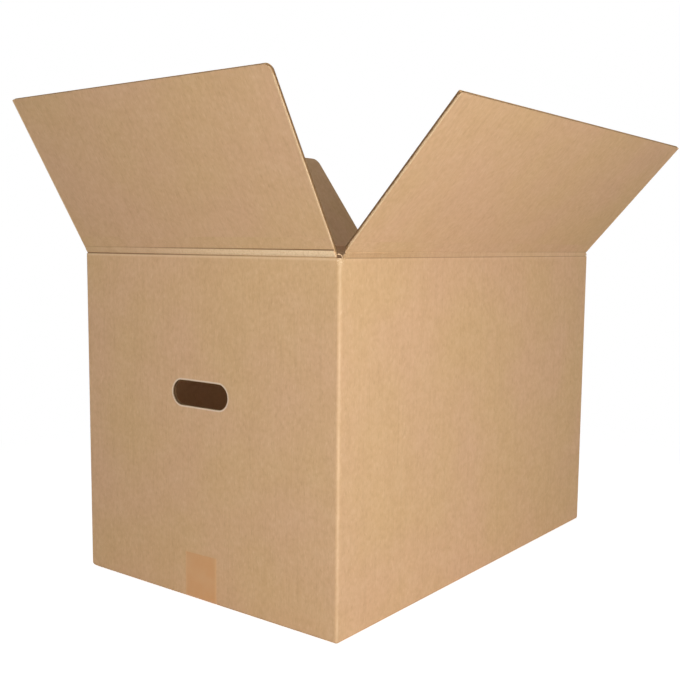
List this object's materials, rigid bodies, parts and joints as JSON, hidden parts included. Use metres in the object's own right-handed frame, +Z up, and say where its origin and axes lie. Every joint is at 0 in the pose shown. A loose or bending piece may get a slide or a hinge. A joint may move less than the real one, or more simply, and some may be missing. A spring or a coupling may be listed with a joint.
{
  "type": "open cardboard box",
  "caption": "Open rectangular corrugated cardboard box with hinged top flaps, hand holes in both ends and a taped bottom.",
  "frame": {"origin": "middle of the box's underside, on the tape along the bottom seam", "axes": "+X along the long side, +Y along the short side, +Z up through the open top"},
  "size_m": [0.8343, 0.6466, 0.5745],
  "materials": {
    "board": "matte",
    "flap_board": "matte",
    "tape": "satin"
  },
  "bodies": {
    "box": {"carton": "board", "packing_tape": "tape"},
    "near_end": {"near_end_flap": "flap_board"},
    "far_end": {"far_end_flap": "flap_board"},
    "near_side": {"near_side_flap": "flap_board"},
    "far_side": {"far_side_flap": "flap_board"}
  },
  "joints": [
    {"name": "near_end_crease", "type": "hinge", "parent": "box", "child": "near_end", "pos_m": [-0.3002, 0, 0.4], "axis": [0, -1, 0], "range_deg": [-120.3, 141.7]},
    {"name": "far_end_crease", "type": "hinge", "parent": "box", "child": "far_end", "pos_m": [0.3002, 0, 0.4], "axis": [0, 1, 0], "range_deg": [-132, 130]},
    {"name": "near_side_crease", "type": "hinge", "parent": "box", "child": "near_side", "pos_m": [0, -0.2002, 0.4044], "axis": [1, 0, 0], "range_deg": [-132, 130]},
    {"name": "far_side_crease", "type": "hinge", "parent": "box", "child": "far_side", "pos_m": [0, 0.2002, 0.4044], "axis": [-1, 0, 0], "range_deg": [-126.4, 135.6]}
  ]
}
